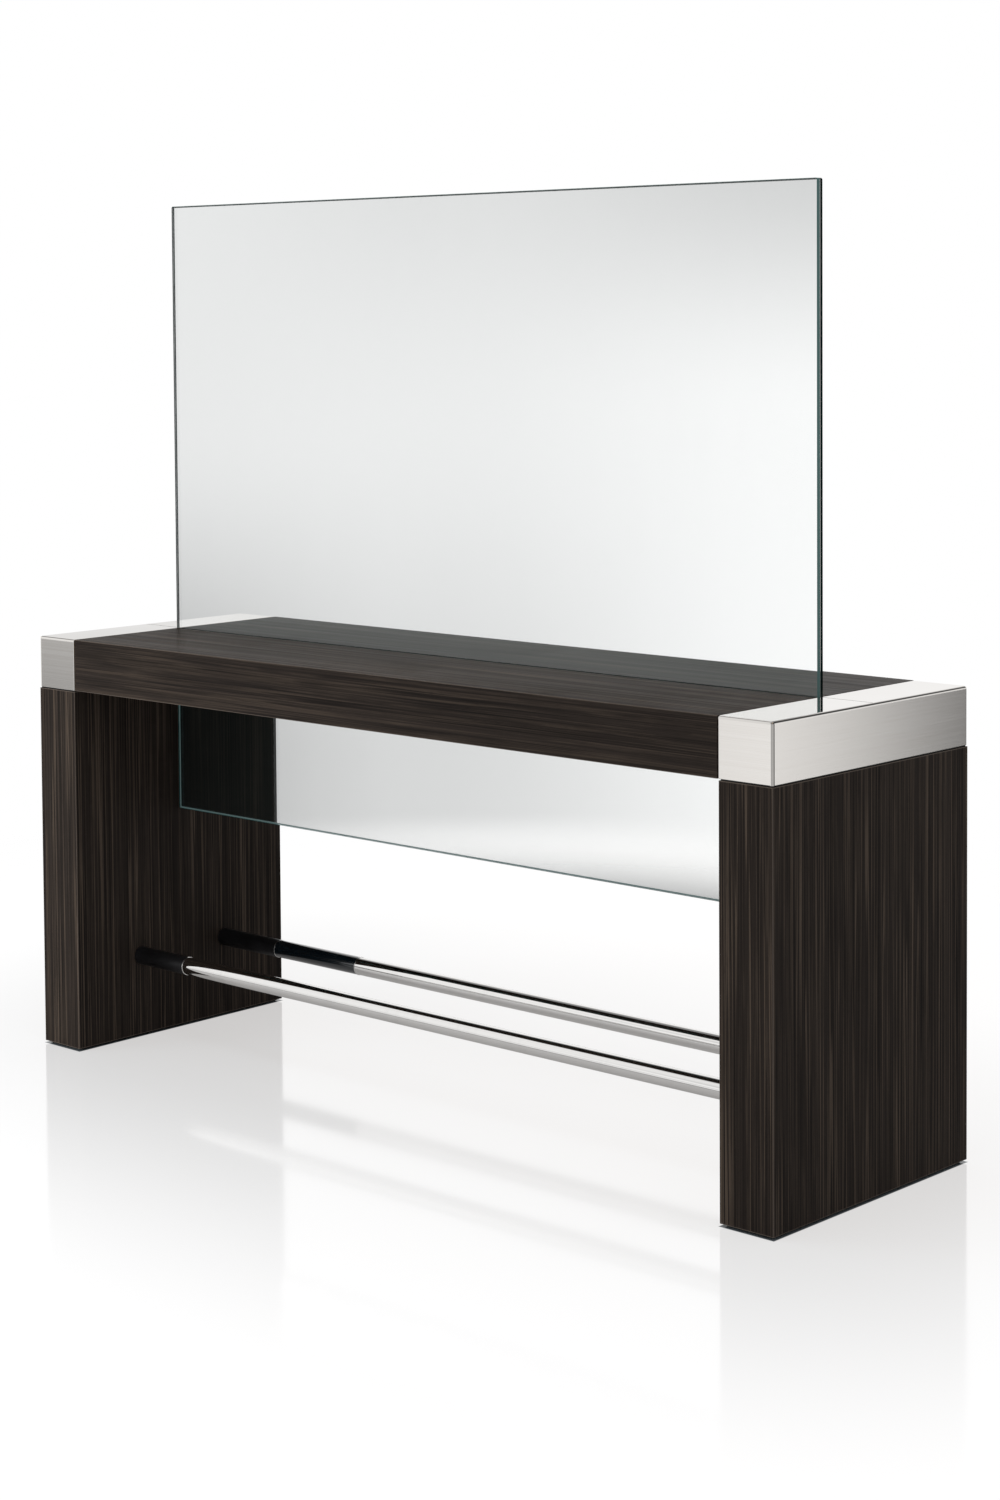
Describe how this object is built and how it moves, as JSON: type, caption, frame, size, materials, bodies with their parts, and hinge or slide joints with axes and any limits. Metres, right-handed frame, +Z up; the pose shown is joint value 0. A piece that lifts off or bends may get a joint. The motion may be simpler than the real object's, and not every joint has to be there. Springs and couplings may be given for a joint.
{
  "type": "double sided salon station",
  "caption": "Double sided salon station: slab legs and a box worktop in dark veneer, steel end caps, a full width two faced mirror through the worktop, and foot rails.",
  "frame": {"origin": "on the floor under the middle of the station, levelling feet fully in", "axes": "+X along the station's length, +Y from the front side to the rear side, +Z up"},
  "size_m": [2, 0.6, 1.838],
  "materials": {
    "wenge_veneer": "open grain, satin lacquer, very dark brown with lighter fine lines",
    "plywood": "raw birch plywood",
    "satin_stainless": "fine satin on the faces, polished top",
    "polished_chrome": "mirror polished",
    "silvered_glass": "silvered float glass, ground and polished edges",
    "black_film": "black safety film",
    "black_lacquer": "matte black powder coat",
    "frame_paint": "satin dark grey powder coat",
    "gasket_rubber": "plain",
    "nylon": "moulded black nylon",
    "zinc_steel": "bright zinc plate",
    "black_screw": "black phosphate"
  },
  "bodies": {
    "station": {"beam_end_bolts": "zinc_steel", "beam_end_plates": "frame_paint", "carrier_screws": "zinc_steel", "foot_nut_blocks": "frame_paint", "front_apron": "wenge_veneer", "front_foot_rail": "polished_chrome", "front_mirror_gasket": "gasket_rubber", "front_mirror_pane": "silvered_glass", "front_soffit": "wenge_veneer", "front_worktop_panel": "wenge_veneer", "front_worktop_ribs": "plywood", "front_worktop_tube": "frame_paint", "head_rails": "frame_paint", "left_base_plate": "black_lacquer", "left_cap_core": "plywood", "left_end_cap": "satin_stainless", "left_gap_spacer": "black_lacquer", "left_leg_front_panel": "wenge_veneer", "left_leg_inner_panel": "wenge_veneer", "left_leg_outer_panel": "wenge_veneer", "left_leg_posts": "frame_paint", "left_leg_rear_panel": "wenge_veneer", "leg_battens": "plywood", "mirror_bond_film": "black_film", "mirror_clamp_bolts": "zinc_steel", "mirror_clamp_nuts": "zinc_steel", "mirror_sleeves": "nylon", "rail_bolts": "zinc_steel", "rail_carrier_plates": "frame_paint", "rail_collars": "polished_chrome", "rail_spigots": "zinc_steel", "rear_apron": "wenge_veneer", "rear_foot_rail": "polished_chrome", "rear_mirror_gasket": "gasket_rubber", "rear_mirror_pane": "silvered_glass", "rear_soffit": "wenge_veneer", "rear_worktop_panel": "wenge_veneer", "rear_worktop_ribs": "plywood", "rear_worktop_tube": "frame_paint", "right_base_plate": "black_lacquer", "right_cap_core": "plywood", "right_end_cap": "satin_stainless", "right_gap_spacer": "black_lacquer", "right_leg_front_panel": "wenge_veneer", "right_leg_inner_panel": "wenge_veneer", "right_leg_outer_panel": "wenge_veneer", "right_leg_posts": "frame_paint", "right_leg_rear_panel": "wenge_veneer", "soffit_screws": "black_screw"},
    "left_front_foot": {"left_front_foot_pad": "nylon", "left_front_foot_stud": "zinc_steel"},
    "left_rear_foot": {"left_rear_foot_pad": "nylon", "left_rear_foot_stud": "zinc_steel"},
    "right_front_foot": {"right_front_foot_pad": "nylon", "right_front_foot_stud": "zinc_steel"},
    "right_rear_foot": {"right_rear_foot_pad": "nylon", "right_rear_foot_stud": "zinc_steel"}
  },
  "joints": [
    {"name": "left_front_foot_travel", "type": "slide", "parent": "station", "child": "left_front_foot", "axis": [0, 0, 1], "range_m": [-0.015, 0]},
    {"name": "left_rear_foot_travel", "type": "slide", "parent": "station", "child": "left_rear_foot", "axis": [0, 0, 1], "range_m": [-0.015, 0]},
    {"name": "right_front_foot_travel", "type": "slide", "parent": "station", "child": "right_front_foot", "axis": [0, 0, 1], "range_m": [-0.015, 0]},
    {"name": "right_rear_foot_travel", "type": "slide", "parent": "station", "child": "right_rear_foot", "axis": [0, 0, 1], "range_m": [-0.015, 0]}
  ]
}
